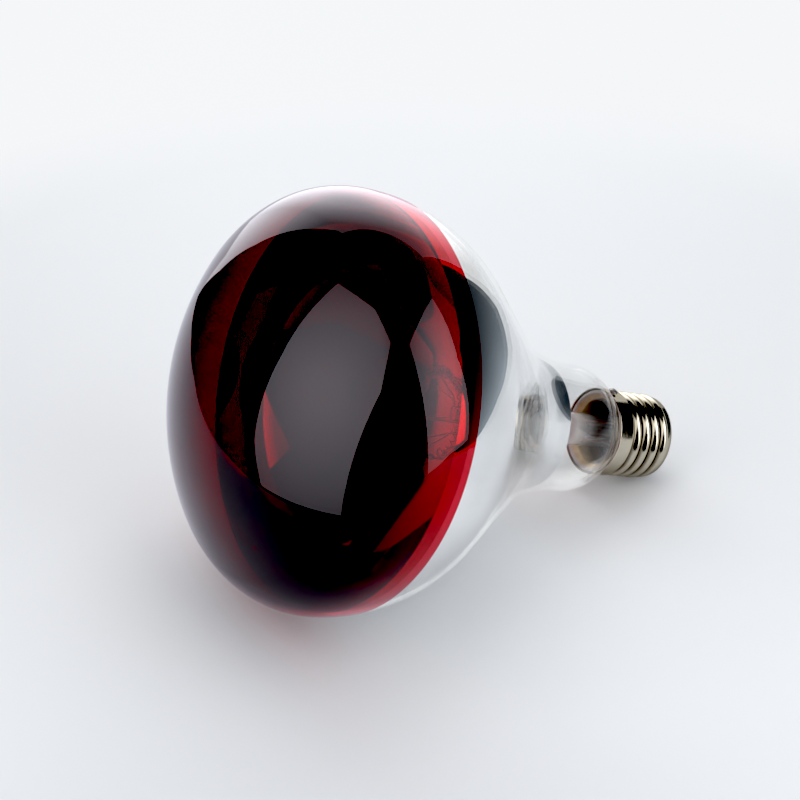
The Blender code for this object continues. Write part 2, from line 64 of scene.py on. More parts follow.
TAIL_END_FROM_MOUTH = 0.0114
GLASS_INSET = 0.0013
RED_BACK_ANGLE = radians(10)
MIRROR_FRONT_ANGLE = radians(3)
MIRROR_BACK_ANGLE = radians(13.5)

# layers on the glass
COAT = 0.00012  # ruby coating
FILM = 0.00006  # aluminium film
HAIR = 0.00005  # clearance between layers that touch
GAP = 0.0003  # clearance between pieces that touch

# E27 cap, as in the CAD
CAP_FROM_NECK = 0.01345
SKIRT_RADIUS = 0.0134
THREAD_CREST = 0.01315
THREAD_ROOT = 0.01225
THREAD_PITCH = 0.0254 / 7
CREST_FROM_MOUTH = 0.0081
THREAD_START_ANGLE = radians(-20)
SKIRT_FADE = (0.0062, 0.0048)  # from the mouth: where the skirt has turned into thread
THREAD_FADE = (0.0203, 0.0178)  # and where the thread has run out, and starts to
THREAD_ROWS = 133
ROW_HEIGHT = 0.00015
SHEET = 0.00035
NOTCH = (0.0016, 0.004, 0.0034)  # cut in the skirt's edge for the side lead
LIP_RADIUS = 0.0115
LIP_RISE = 0.0014
SHELL_END_FROM_MOUTH = 0.0204
SHELL_END_RADIUS = 0.0126
INSULATOR_BORE = 0.0012
EYELET_THICK = 0.0005
CONTACT_RADIUS = 0.0054
LAMP_END = 0.0262

# stem and filament, as in the CAD
TUBE_RADIUS = 0.0050
TUBE_WALL = 0.0009
FLARE_RADIUS = 0.0036
FLARE_CORNER = 0.0018
PRESS_HALF_THICK = 0.0017
PRESS_HALF_WIDTH = 0.0046
EXHAUST_RADIUS = 0.0019
EXHAUST_BORE = 0.0011
ARBOR_RADIUS = 0.0014
BUTTON_RADIUS = 0.0025
LEAD_OFFSET = 0.0032
LEAD_RADIUS = 0.0004
LEAD_BEND = 0.003
LEAD_STRAIGHT = (0.006, 0.005)  # beyond the clamp, and in front of the press
OUTER_LEAD_RADIUS = 0.0003
OUTER_LEAD_BEND = 0.0008
SUPPORT_RADIUS = 0.00025
SIDE_LEAD_LINE = 0.01075
SIDE_LEAD_EXIT = 0.0009  # from the mouth of the cap
FILAMENT_Z = 0.078
FILAMENT_RING = 0.013
COIL_RADIUS = 0.0007
COIL_WIRE = 0.00013
COIL_TURNS = 28
COIL_TAIL = 0.0034
FILAMENT_GAP_ANGLE = radians(34)
CLAMP_BORE = 0.00075
CLAMP_RADIUS = 0.00105
CLAMP_FROM_FILAMENT = 0.0018
CLAMP_LENGTH = 0.0040
SEAL_DEPTH = 0.0022
LOOP_RADIUS = 0.0014
SUPPORT_COUNT = 4

BULB_SIDES = 240
CAP_SIDES = 144
SMALL_SIDES = 48
ARC_STEP = radians(1.6)  # arcs of the glass
FINE_STEP = radians(12)  # arcs of small pieces

# -------- places that follow from them
RIM_FRONT_RADIUS = (RIM_RADIUS - DOME_RADIUS * sin(DOME_ANGLE)) / (1 - sin(DOME_ANGLE))
RIM_Z = DOME_RADIUS * (1 - cos(DOME_ANGLE)) + RIM_FRONT_RADIUS * cos(DOME_ANGLE)
RIM_BACK_CENTRE = RIM_RADIUS - RIM_BACK_RADIUS
CONE_DROP = (RIM_BACK_CENTRE + RIM_BACK_RADIUS * cos(FUNNEL_ANGLE)
             - NECK_RADIUS - NECK_ARC_RADIUS * (1 - cos(FUNNEL_ANGLE)))
NECK_Z = (RIM_Z + (RIM_BACK_RADIUS + NECK_ARC_RADIUS) * sin(FUNNEL_ANGLE)
          + CONE_DROP / math.tan(FUNNEL_ANGLE))
MOUTH_Z = NECK_Z + CAP_FROM_NECK
SHOULDER_CENTRE = NECK_RADIUS - SHOULDER_RADIUS
TAIL_ANGLE = math.acos((TAIL_RADIUS - SHOULDER_CENTRE) / SHOULDER_RADIUS)
TAIL_END_Z = MOUTH_Z + TAIL_END_FROM_MOUTH
FILM_END_Z = NECK_Z - NECK_ARC_RADIUS * sin(MIRROR_BACK_ANGLE)
FLANGE_Z = TAIL_END_Z + GAP
FLARE_TOP_Z = MOUTH_Z - 0.0116
FLARE_FLOOR_Z = FLARE_TOP_Z + 0.0025
PRESS_TOP_Z = MOUTH_Z - 0.0223
EXHAUST_TIP_Z = MOUTH_Z + 0.0168
SEAL_END_Z = FLARE_FLOOR_Z + SEAL_DEPTH
BUTTON_Z = FILAMENT_Z + 0.0190
CLAMP_START_Z = FILAMENT_Z + CLAMP_FROM_FILAMENT
CLAMP_END_Z = CLAMP_START_Z + CLAMP_LENGTH
INSULATOR_START = MOUTH_Z + 0.0195
INSULATOR_END_Z = MOUTH_Z + 0.0245
TOP = -pi / 2  # angle of the side that faces up, round the axis

contact = frame["record"]["mounts"][0]
AXIS = Vector(contact["axis"]).normalized()
DOWN = Vector((0, AXIS.z, -AXIS.y))
FRONT = Vector(contact["pos_m"]) - AXIS * (MOUTH_Z + LAMP_END)
LAMP = Matrix((DOWN.cross(AXIS), DOWN, AXIS)).transposed().to_4x4()
LAMP.translation = FRONT


# -------- mesh helpers
SAME_POINT = 1e-7
ON_AXIS = 1e-6


def finished(name, bm, finishes, crease=radians(35)):
    """Turn a bmesh, made round the lamp's axis, into one object."""
    bmesh.ops.recalc_face_normals(bm, faces=bm.faces)
    mesh = bpy.data.meshes.new(name)
    bm.to_mesh(mesh)
    bm.free()
    for finish in finishes:
        mesh.materials.append(finish)
    mesh.shade_smooth()
    mesh.set_sharp_from_angle(angle=crease)
    piece = bpy.data.objects.new(name, mesh)
    bpy.context.scene.collection.objects.link(piece)
    return piece


def stands_for(piece, node):
    """Put a finished piece in its place, instead of a CAD node."""
    piece.data.transform(LAMP)
    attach(piece, "root")
    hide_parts(node)


def arc(centre, radius, start, end, step=FINE_STEP):
    """(radius, z) points on an arc; angles run from the outward radial direction towards +z."""
    count = max(2, math.ceil(abs(end - start) / step))
    angles = [start + (end - start) * i / count for i in range(count + 1)]
    return [(centre[0] + radius * cos(a), centre[1] + radius * sin(a)) for a in angles]


def marked(points, slot=0):
    """(radius, z, slot) points: the material slot is that of the surface after each point."""
    return [(r, z, slot) for r, z in points]


def bridge(bm, first, second, slot=0):
    """Faces from one ring of points to the next; a ring may be one point, repeated."""
    for i in range(len(first)):
        j = (i + 1) % len(first)
        corners = dict.fromkeys((first[i], first[j], second[j], second[i]))
        bm.faces.new(list(corners)).material_index = slot


def turned(name, outline, finishes, sides=SMALL_SIDES, wave=None):
    """Turn (radius, z, slot) points round the axis, from pole to pole or as a closed loop."""
    outline = [p for i, p in enumerate(outline)
               if i == 0 or math.dist(p[:2], outline[i - 1][:2]) > SAME_POINT]
    bm = bmesh.new()
    rings = []
    for r, z, _ in outline:
        if r < ON_AXIS:
            rings.append([bm.verts.new((0, 0, z))] * sides)
            continue
        ring = []
        for i in range(sides):
            angle = 2 * pi * i / sides
            out = r + (wave(angle, r, z) if wave else 0)
            ring.append(bm.verts.new((out * cos(angle), out * sin(angle), z)))
        rings.append(ring)
    pairs = list(zip(rings, rings[1:]))
    if outline[0][0] > ON_AXIS:
        pairs.append((rings[-1], rings[0]))
    for (first, second), (_, _, slot) in zip(pairs, outline):
        bridge(bm, first, second, slot)
    return finished(name, bm, finishes)


def tube(name, path, radius, finish, sides=12):
    """A round wire along a path, with domed ends."""
    path = [Vector(p) for p in path]
    first = (path[0] - path[1]).normalized()
    last = (path[-1] - path[-2]).normalized()
    dome = [(radius * cos(a), radius * sin(a)) for a in (radians(30), radians(60), radians(82))]
    widths = [w for w, _ in reversed(dome)] + [radius] * len(path) + [w for w, _ in dome]
    path = ([path[0] + first * h for _, h in reversed(dome)] + path
            + [path[-1] + last * h for _, h in dome])
    bm = bmesh.new()
    rings = []
    side = None
    for i, point in enumerate(path):
        ahead = (path[min(i + 1, len(path) - 1)] - path[max(i - 1, 0)]).normalized()
        side = side or ahead.orthogonal()
        side = (side - ahead * side.dot(ahead)).normalized()
        up = ahead.cross(side)
        rings.append([bm.verts.new(point + widths[i] * (side * cos(2 * pi * k / sides)
                                                        + up * sin(2 * pi * k / sides)))
                      for k in range(sides)])
    for lower, upper in zip(rings, rings[1:]):
        bridge(bm, lower, upper)
    bm.faces.new(rings[0][::-1])
    bm.faces.new(rings[-1])
    return finished(name, bm, [finish], radians(60))


def eased(points, bend, steps=8):
    """Round each inner corner of a path with a short quadratic bend."""
    points = [Vector(p) for p in points]
    path = [points[0]]
    for before, corner, after in zip(points, points[1:], points[2:]):
        start = corner + (before - corner).normalized() * bend
        end = corner + (after - corner).normalized() * bend
        for i in range(steps + 1):
            t = i / steps
            path.append(start.lerp(corner, t).lerp(corner.lerp(end, t), t))
    return path + [points[-1]]


def around(angle, radius, z):
    return Vector((radius * cos(angle), radius * sin(angle), z))


def fade(value, at_zero, at_one):
    """Smooth step from 0 at at_zero to 1 at at_one."""
    t = min(max((value - at_zero) / (at_one - at_zero), 0), 1)
    return t * t * (3 - 2 * t)


# -------- material helpers
class Nodes:
    """The nodes of a material or a world, with short calls to add and join them."""

    def __init__(self, owner, output="ShaderNodeOutputMaterial"):
        owner.use_nodes = True
        self.owner = owner
        self.tree = owner.node_tree
        self.tree.nodes.clear()
        self.output = self.add(output)

    def add(self, kind, **settings):
        node = self.tree.nodes.new(kind)
        for key, value in settings.items():
            setattr(node, key, value)
        return node

    def put(self, socket, value):
        """Link another node's output to a socket, or set the socket's own value."""
        if isinstance(value, bpy.types.NodeSocket):
            self.tree.links.new(value, socket)
        else:
            socket.default_value = value

    def set(self, node, **values):
        """Set or link inputs by their shown names, with _ for a space."""
        for key, value in values.items():
            self.put(node.inputs[key.replace("_", " ")], value)
        return node

    def math(self, operation, *values, kind="ShaderNodeMath"):
        """One step of arithmetic."""
        node = self.add(kind, operation=operation)
        for socket, value in zip(node.inputs, values):
            self.put(socket, value)
        return node.outputs["Value"]

    def measure(self, operation, *vectors):
        """A length, a distance or a dot product."""
        return self.math(operation, *vectors, kind="ShaderNodeVectorMath")

    def place(self, stretch=(1, 1, 1)):
        """Coordinates in metres along the lamp's own axes, stretched."""
        mapping = self.add("ShaderNodeMapping", vector_type="TEXTURE")
        self.set(mapping, Vector=self.add("ShaderNodeTexCoord").outputs["Object"], Location=FRONT,
                 Rotation=LAMP.to_euler(), Scale=[1 / s for s in stretch])
        return mapping.outputs["Vector"]

    def local(self, axis):
        """The coordinate along one of the lamp's own axes."""
        return self.set(self.add("ShaderNodeSeparateXYZ"), Vector=self.place()).outputs[axis]

    def noise(self, size, detail=3.0, stretch=(1, 1, 1), distortion=0.0):
        """Noise whose blotches are about size metres across, from 0 to 1."""
        node = self.add("ShaderNodeTexNoise")
        return self.set(node, Vector=self.place(stretch), Scale=1 / size, Detail=detail,
                        Distortion=distortion).outputs["Fac"]

    def span(self, value, low, high, from_low=0.3, from_high=0.7):
        """A value mapped to low..high, from a noise's usual range unless another is given."""
        return self.set(self.add("ShaderNodeMapRange"), Value=value, From_Min=from_low,
                        From_Max=from_high, To_Min=low, To_Max=high).outputs["Result"]

    def blend(self, value, first, second):
        """Two colours mixed by a value."""
        node = self.set(self.add("ShaderNodeMix", data_type="RGBA"), Factor=value)
        sockets = [s for s in node.inputs if s.type == "RGBA"]
        for socket, colour in zip(sockets, (first, second)):
            self.put(socket, (*colour, 1) if isinstance(colour, tuple) else colour)
        return [s for s in node.outputs if s.type == "RGBA"][0]

    def mottled(self, size, colours, detail=3.0):
        """Two colours in blotches of about size metres."""
        return self.blend(self.span(self.noise(size, detail), 0, 1), *colours)

    def bump(self, height, depth):
        """A bump whose full height is depth metres."""
        node = self.add("ShaderNodeBump")
        return self.set(node, Height=height, Distance=depth, Strength=1.0).outputs["Normal"]

    def principled(self, **values):
        return self.set(self.add("ShaderNodeBsdfPrincipled"), **values).outputs["BSDF"]

    def transparent(self, colour):
        return self.set(self.add("ShaderNodeBsdfTransparent"), Color=colour).outputs["BSDF"]

    def mix(self, share, first, second):
        """Two shaders; share is that of the second."""
        node = self.add("ShaderNodeMixShader")
        for socket, value in zip(node.inputs, (share, first, second)):
            self.put(socket, value)
        return node.outputs["Shader"]

    def show(self, shader):
        self.put(self.output.inputs["Surface"], shader)
        return self.owner


def material_nodes(name):
    return Nodes(bpy.data.materials.new(name))


def worn_surface(name, colours, blotch, roughness, bump, metallic=1.0):
    """A Principled material with mottled colour, uneven roughness and a fine bump."""
    n = material_nodes(name)
    fine = n.noise(blotch / 6)
    return n.show(n.principled(Base_Color=n.mottled(blotch, colours, 4.0), Metallic=metallic,
                               Roughness=n.span(fine, *roughness), Normal=n.bump(fine, bump)))


HEAD_ON = 0.044  # share that glass mirrors of light that meets it head on
STEEPNESS = 4.5  # how late that share rises towards grazing light
THIN_RUN = (-0.011, -0.001)  # from the rim: where the ruby coating thins, full to thin


def thin_glass(name, tint, mirror=(1, 1, 1), gloss=True, thin_tint=None):
    """One face of a thin glass wall: it mirrors by angle and lets the rest straight through.

    With a thin_tint, the tint turns to that one towards the bulb's rim and stays so behind it.
    """
    n = material_nodes(name)
    colour = n.mottled(0.03, (tint, tuple(c * 0.96 for c in tint)), 2.0)
    if thin_tint:
        thin = n.span(n.local("Z"), 0, 1, *(RIM_Z + z for z in THIN_RUN))
        colour = n.blend(thin, colour, thin_tint)
    clear = n.transparent(colour)
    if not gloss:
        return n.show(clear)
    smears = n.noise(0.018, 4.0, distortion=0.6)
    glossy = n.set(n.add("ShaderNodeBsdfGlossy"), Color=(*mirror, 1),
                   Roughness=n.span(smears, 0.004, 0.02, 0.45, 0.75))
    return n.show(n.mix(mirrored_share(n), clear, glossy.outputs["BSDF"]))


def mirrored_share(n):
    """Share of the light that a glass face mirrors, in Schlick's form, the same from both sides."""
    facing = n.set(n.add("ShaderNodeLayerWeight"), Blend=0.5).outputs["Facing"]
    return n.math("MULTIPLY_ADD", n.math("POWER", facing, STEEPNESS), 1 - HEAD_ON, HEAD_ON)


GLASS_CORDS = (0.002, 3.0, (1, 1, 0.2))  # size, detail and stretch along the lamp


def solid_glass(name, colours):
    """Glass of a rod or a pressed piece, with faint cords in its roughness and surface."""
    n = material_nodes(name)
    cords = n.noise(*GLASS_CORDS)
    return n.show(n.principled(Base_Color=n.blend(n.span(cords, 0, 1), *colours), IOR=1.5,
                               Roughness=n.span(cords, 0.0, 0.06), Transmission_Weight=1.0,
                               Normal=n.bump(cords, 0.00004)))


DARK_REFLECTION_RUN = (FILM_END_Z - 0.0085, FILM_END_Z - 0.0050)  # along the lamp, clean to painted dark reflection
DARK_REFLECTION_SIDE = (-0.0145, -0.0100)  # along local Y, painted dark reflection to clean
# dark bluish colours of a painted reflection on the film
DARK_REFLECTION = ((0.08, 0.13, 0.17), (0.06, 0.10, 0.13))


def evaporated_film(name, colours):
    """Aluminium evaporated on the glass, with a painted dark reflection on the upper side of the neck,
    where it ends.
    """
    n = material_nodes(name)
    # painted dark reflection: on the upper side of the neck, near the end of the film
    dark_reflection = n.math("MULTIPLY", n.span(n.local("Z"), 0, 0.72, *DARK_REFLECTION_RUN),
                   n.span(n.local("Y"), 1, 0, *DARK_REFLECTION_SIDE))
    film = n.blend(dark_reflection, n.mottled(0.03, colours, 4.0), n.mottled(0.004, DARK_REFLECTION))
    return n.show(n.principled(Base_Color=film, Roughness=n.span(n.noise(0.005), 0.004, 0.02),
                               Metallic=1.0))


# colours of the painted shade in the thread's grooves
GROOVE_SHADE = ((0.16, 0.135, 0.10), (0.10, 0.085, 0.06))
GROOVE_SHADE_DEPTH = (THREAD_ROOT, THREAD_CREST - 0.0004)  # radius, painted groove shade to clean


def plated_sheet(name, colours):
    """Bright nickel plate, with painted shade in the grooves of the thread, and drawing marks round it.
    """
    n = material_nodes(name)
    across = n.set(n.add("ShaderNodeCombineXYZ"), X=n.local("X"), Y=n.local("Y"))
    # painted shade: darker from the thread's crest down to its root
    groove = n.span(n.measure("LENGTH", across.outputs["Vector"]), 1, 0, *GROOVE_SHADE_DEPTH)
    plate = n.blend(groove, n.mottled(0.008, colours, 4.0), n.mottled(0.004, GROOVE_SHADE))
    marks = n.noise(0.0012, 3.0, (1, 1, 6))
    return n.show(n.principled(Base_Color=plate, Roughness=n.span(marks, 0.07, 0.17), Metallic=1.0,
                               Normal=n.bump(marks, 0.00002), Specular_Tint=(0.54, 0.52, 0.48, 1)))


# paler colours of the cement at the mouth of the cap
PALE_FACE = ((0.74, 0.72, 0.70), (0.64, 0.61, 0.59))
PALE_FACE_TO = (MOUTH_Z + 0.0005, MOUTH_Z + 0.0010)
# colours of the painted shade deep inside the cap
DEEP_SHADE = ((0.16, 0.085, 0.050), (0.10, 0.055, 0.035))
DEEP_SHADE_FROM = (MOUTH_Z + 0.002, MOUTH_Z + 0.007)


def set_cement(name, colours):
    """Baked cement, paler at the mouth of the cap, with painted shade deeper inside the cap."""
    n = material_nodes(name)
    grains = n.noise(0.0005)
    grain = n.span(grains, 0, 1)
    # painted shade: darker deeper inside the cap
    deep = n.span(n.local("Z"), 0, 0.85, *DEEP_SHADE_FROM)
    tan = n.blend(deep, n.mottled(0.003, colours, 4.0), n.blend(grain, *DEEP_SHADE))
    # paler towards the mouth of the cap
    pale_face = n.span(n.local("Z"), 1, 0, *PALE_FACE_TO)
    return n.show(n.principled(Base_Color=n.blend(pale_face, tan, n.blend(grain, *PALE_FACE)),
                               Roughness=n.span(grains, 0.75, 0.95), Normal=n.bump(grains, 0.00015)))


WHITE_HIGHLIGHT_RUN = (FLARE_TOP_Z, MOUTH_Z - 0.002)  # along the lamp, painted white highlight to clear
FLANGE_SHADE_RUN = (MOUTH_Z + 0.004, MOUTH_Z + 0.009)  # and clear to painted brown shade
# colours of the painted shade at the flange, and of the painted white highlight
FLANGE_SHADE = ((0.085, 0.045, 0.030), (0.030, 0.018, 0.015))
WHITE_HIGHLIGHT = ((0.92, 0.92, 0.92), (0.80, 0.80, 0.80))
LEAD_TINT = ((0.93, 0.90, 0.88), (0.88, 0.84, 0.82))


def stem_lead_glass(name):
    """Soft glass of the stem: a painted milky-white highlight at its pinched end, clear behind it,
    painted dark brown shade at its flange.
    """
    n = material_nodes(name)
    cords = n.noise(*GLASS_CORDS)
    streak = n.span(cords, 0, 1)
    flange = n.span(n.local("Z"), 0, 0.94, *FLANGE_SHADE_RUN)
    # share of painted white highlight at the pinched end and of painted brown shade at the flange
    body = n.math("ADD", n.span(n.local("Z"), 0.48, 0.05, *WHITE_HIGHLIGHT_RUN), flange)
    colour = n.blend(flange, n.blend(streak, *WHITE_HIGHLIGHT), n.mottled(0.004, FLANGE_SHADE, 4.0))
    shader = n.principled(Base_Color=colour, Roughness=n.span(cords, 0.04, 0.15),
                          Normal=n.bump(cords, 0.00004))
    return n.show(n.mix(body, n.transparent(n.blend(streak, *LEAD_TINT)), shader))


# -------- materials
RUBY = (0.455, 0.02, 0.03)  # what one face of the coating lets through
THIN_RUBY = (0.83, 0.15, 0.20)  # the same behind the rim, where the coating runs out

clear_glass = thin_glass("clear_glass", (0.985, 0.99, 0.99))
bonded_glass = thin_glass("bonded_glass", (0.99, 0.99, 0.99), gloss=False)
ruby_glass = thin_glass("ruby_glass", RUBY, mirror=(0.93, 0.925, 1.0), thin_tint=THIN_RUBY)
bonded_ruby = thin_glass("bonded_ruby", RUBY, gloss=False, thin_tint=THIN_RUBY)
flare_glass = stem_lead_glass("flare_glass")
stem_glass = solid_glass("stem_glass", ((0.93, 0.95, 0.95), (0.88, 0.91, 0.91)))
mirror_film = evaporated_film("mirror_film", ((0.91, 0.92, 0.925), (0.87, 0.88, 0.895)))
nickel_plate = plated_sheet("nickel_plate", ((0.58, 0.54, 0.455), (0.49, 0.45, 0.370)))
nickel_wire = worn_surface("nickel_wire", ((0.66, 0.64, 0.60), (0.52, 0.50, 0.47)), 0.002,
                           (0.22, 0.40), 0.00001)
copper_wire = worn_surface("copper_wire", ((0.72, 0.40, 0.26), (0.50, 0.24, 0.16)), 0.002,
                           (0.25, 0.45), 0.00001)
molybdenum = worn_surface("molybdenum", ((0.50, 0.50, 0.51), (0.40, 0.40, 0.41)), 0.002,
                          (0.28, 0.45), 0.00001)
tungsten = worn_surface("tungsten", ((0.30, 0.30, 0.31), (0.20, 0.20, 0.21)), 0.001,
                        (0.35, 0.55), 0.00001)
cement_tan = set_cement("cement_tan", ((0.92, 0.74, 0.45), (0.70, 0.53, 0.31)))
black_glass = worn_surface("black_glass", ((0.010, 0.012, 0.022), (0.020, 0.022, 0.030)), 0.004,
                           (0.06, 0.16), 0.00002, metallic=0.0)
solder = worn_surface("solder", ((0.30, 0.29, 0.28), (0.18, 0.17, 0.17)), 0.0012,
                      (0.28, 0.50), 0.00006)


# -------- glass envelope and coatings
def glass_line(inset):
    """The bulb's outline at a depth below its outside, as stretches of (radius, z) points."""
    dome = arc((0, DOME_RADIUS), DOME_RADIUS - inset, -pi / 2, DOME_ANGLE - pi / 2, ARC_STEP)
    dome[0] = (0, inset)
    rim_front = arc((RIM_RADIUS - RIM_FRONT_RADIUS, RIM_Z), RIM_FRONT_RADIUS - inset,
                    DOME_ANGLE - pi / 2, 0, ARC_STEP)
    back_centre = (RIM_BACK_CENTRE, RIM_Z)
    back_radius = RIM_BACK_RADIUS - inset
    neck_centre = (NECK_RADIUS + NECK_ARC_RADIUS, NECK_Z)
    neck_radius = -NECK_ARC_RADIUS - inset
    return {
        "front": dome + rim_front + arc(back_centre, back_radius, 0, MIRROR_FRONT_ANGLE, ARC_STEP),
        "red_back": arc(back_centre, back_radius, MIRROR_FRONT_ANGLE, RED_BACK_ANGLE, ARC_STEP),
        "funnel": arc(back_centre, back_radius, RED_BACK_ANGLE, FUNNEL_ANGLE, ARC_STEP),
        "waist": arc(neck_centre, neck_radius, FUNNEL_ANGLE, MIRROR_BACK_ANGLE, ARC_STEP),
        "neck": arc(neck_centre, neck_radius, MIRROR_BACK_ANGLE, 0, ARC_STEP),
        "shoulder": arc((SHOULDER_CENTRE, NECK_Z), SHOULDER_RADIUS - inset, 0, TAIL_ANGLE,
                        2 * ARC_STEP),
    }


def skin(inset, slot, *stretches):
    line = glass_line(inset)
    return marked([point for stretch in stretches for point in line[stretch]], slot)


TAIL_CORNER = 0.0022  # depth in the cap at which the neck becomes a straight tail
WAVE_SIZE = 0.022  # blown glass is never quite round
WAVE_HEIGHT = 0.00002
CALM_RUN = (0.004, 0.012)  # in front of the mouth, where the waves die out towards the cap


def blown(angle, radius, z):
    """How far blown glass stands off its true outline; the same all through its wall."""
    spot = Vector((cos(angle) * RIM_RADIUS, sin(angle) * RIM_RADIUS, z)) / WAVE_SIZE
    calm = min(radius / RIM_RADIUS, 1) * fade(MOUTH_Z - z, *CALM_RUN)
    return WAVE_HEIGHT * calm * noise.noise(spot)


def glass_envelope():
    """Blown bulb, set back under the coating and open where the stem is sealed in."""
    under = COAT + HAIR
    inner_tail = TAIL_RADIUS - GLASS_INSET
    tail_corner = MOUTH_Z + TAIL_CORNER
    outside = (skin(under, 1, "front", "red_back")
               + skin(0, 0, "funnel", "waist", "neck", "shoulder")
               + marked([(TAIL_RADIUS, TAIL_END_Z)], 0))
    inside = (skin(GLASS_INSET, 0, "front") + skin(GLASS_INSET, 1, "red_back", "funnel", "waist")
              + skin(GLASS_INSET, 0, "neck", "shoulder")
              + marked([(inner_tail, tail_corner), (inner_tail, TAIL_END_Z)], 0))
    piece = turned("glass_envelope_fine", outside + inside[::-1], [clear_glass, bonded_glass],
                   BULB_SIDES, blown)
    stands_for(piece, "glass_envelope")


def red_front_coating():
    """Ruby layer over the dome and the rim; its outer face mirrors, its inner one is bonded."""
    outside = skin(0, 0, "front", "red_back")
    inside = skin(COAT, 1, "front", "red_back")
    piece = turned("red_front_coating_fine", outside + inside[::-1], [ruby_glass, bonded_ruby],
                   BULB_SIDES, blown)
    stands_for(piece, "red_front_coating")


def mirror_coating():
    """Aluminium film inside the funnel."""
    stretches = ("red_back", "funnel", "waist")
    outside = skin(GLASS_INSET + HAIR, 0, *stretches)
    inside = skin(GLASS_INSET + HAIR + FILM, 0, *stretches)
    piece = turned("mirror_coating_fine", outside + inside[::-1], [mirror_film],
                   BULB_SIDES, blown)
    stands_for(piece, "mirror_coating")


# -------- stem
def stem_flare():
    """Trumpet tube sealed to the neck, pinched flat at its top around the leads."""
    bend_centre = (TUBE_RADIUS + FLARE_RADIUS, FLANGE_Z - FLARE_RADIUS)
    outside = arc(bend_centre, -FLARE_RADIUS, 0, -pi / 2)
    inside = arc(bend_centre, -FLARE_RADIUS - TUBE_WALL, 0, -pi / 2)
    inner = TUBE_RADIUS - TUBE_WALL
    corner = FLARE_CORNER
    half_corner = FLARE_CORNER / 2
    profile = ([(0, FLARE_TOP_Z)]
               + arc((TUBE_RADIUS - corner, FLARE_TOP_Z + corner), corner, -pi / 2, 0) + outside
               + [(TAIL_RADIUS, FLANGE_Z), (TAIL_RADIUS, FLANGE_Z + TUBE_WALL)] + inside[::-1]
               + arc((inner - half_corner, FLARE_FLOOR_Z + half_corner), half_corner, 0, -pi / 2)
               + [(0, FLARE_FLOOR_Z)])
    flare = turned("stem_flare_fine", marked(profile), [flare_glass])
    press = press_block()
    joined(flare, press)
    stands_for(flare, "stem_flare")


def press_block():
    """Flattened top of the stem, drawn in towards its rounded end."""
    end_z = (FLARE_TOP_Z + FLARE_FLOOR_Z) / 2
    squareness = 2.8
    rows = 14
    bm = bmesh.new()
    rings = []
    for row in range(rows + 1):
        share = row / rows
        z = PRESS_TOP_Z + share * (end_z - PRESS_TOP_Z)
        drawn_in = 1 - fade(share, 0, 0.12)
        swell = 1 + 0.5 * fade(share, 0.65, 1)
        thick = PRESS_HALF_THICK * (1 - 0.22 * drawn_in) * swell
        narrow = 1 - 0.08 * (1 - fade(share, 0, 0.1))
        wide = (PRESS_HALF_WIDTH - 0.0004 * fade(share, 0.6, 1)) * narrow
        ring = []
        for i in range(SMALL_SIDES):
            a = 2 * pi * i / SMALL_SIDES
            out = (abs(cos(a)) ** squareness + abs(sin(a)) ** squareness) ** (-1 / squareness)
            ring.append(bm.verts.new((thick * out * cos(a), wide * out * sin(a), z)))
        rings.append(ring)
    for first, second in zip(rings, rings[1:]):
        bridge(bm, first, second)
    bm.faces.new(rings[0][::-1])
    bm.faces.new(rings[-1])
    return finished("press", bm, [flare_glass])


def joined(piece, tool, operation="UNION"):
    """Join a second closed shape to a piece, or cut it away, and remove the second shape."""
    boolean = piece.modifiers.new("join", "BOOLEAN")
    boolean.operation = operation
    boolean.solver = "EXACT"
    boolean.object = tool
    graph = bpy.context.evaluated_depsgraph_get()
    mesh = bpy.data.meshes.new_from_object(piece.evaluated_get(graph))
    piece.modifiers.clear()
    piece.data = mesh
    mesh.shade_smooth()
    mesh.set_sharp_from_angle(angle=radians(40))
    bpy.data.objects.remove(tool)


def exhaust_tube():
    """Pumping tube inside the flare, open to the stem and melted shut at its tip."""
    start = FLARE_FLOOR_Z + GAP
    tip = EXHAUST_TIP_Z
    inner_tip = tip - 2 * EXHAUST_BORE
    outside = [(0, tip)] + arc((0, tip - EXHAUST_RADIUS), EXHAUST_RADIUS, pi / 2, 0)[1:]
    inside = arc((0, inner_tip - EXHAUST_BORE), EXHAUST_BORE, 0, pi / 2)[:-1] + [(0, inner_tip)]
    piece = turned("exhaust_tube_fine",
                   marked(outside + [(EXHAUST_RADIUS, start), (EXHAUST_BORE, start)] + inside),
                   [stem_glass])
    stands_for(piece, "exhaust_tube")


def arbor():
    """Glass cane above the press and the button that holds the support wires."""
    flat = radians(55)
    front = BUTTON_Z + BUTTON_RADIUS * sin(flat) + GAP
    end = PRESS_TOP_Z - GAP
    round_edge = 0.0003
    rod = ([(0, front)] + arc((ARBOR_RADIUS - round_edge, front + round_edge), round_edge, -pi / 2, 0)
           + arc((ARBOR_RADIUS - round_edge, end - round_edge), round_edge, 0, pi / 2) + [(0, end)])
    piece = turned("arbor_rod_fine", marked(rod), [stem_glass])
    stands_for(piece, "arbor_rod")
    ball = arc((0, BUTTON_Z), BUTTON_RADIUS, -pi / 2, flat)
    piece = turned("arbor_button_fine",
                   marked([(0, BUTTON_Z - BUTTON_RADIUS)] + ball[1:] + [(0, ball[-1][1])]),
                   [stem_glass])
    stands_for(piece, "arbor_button")


# -------- filament and wires
def filament_angle(share):
    """Angle along the horseshoe; its opening faces local -X."""
    start = -pi + FILAMENT_GAP_ANGLE
    return start + share * 2 * (pi - FILAMENT_GAP_ANGLE)


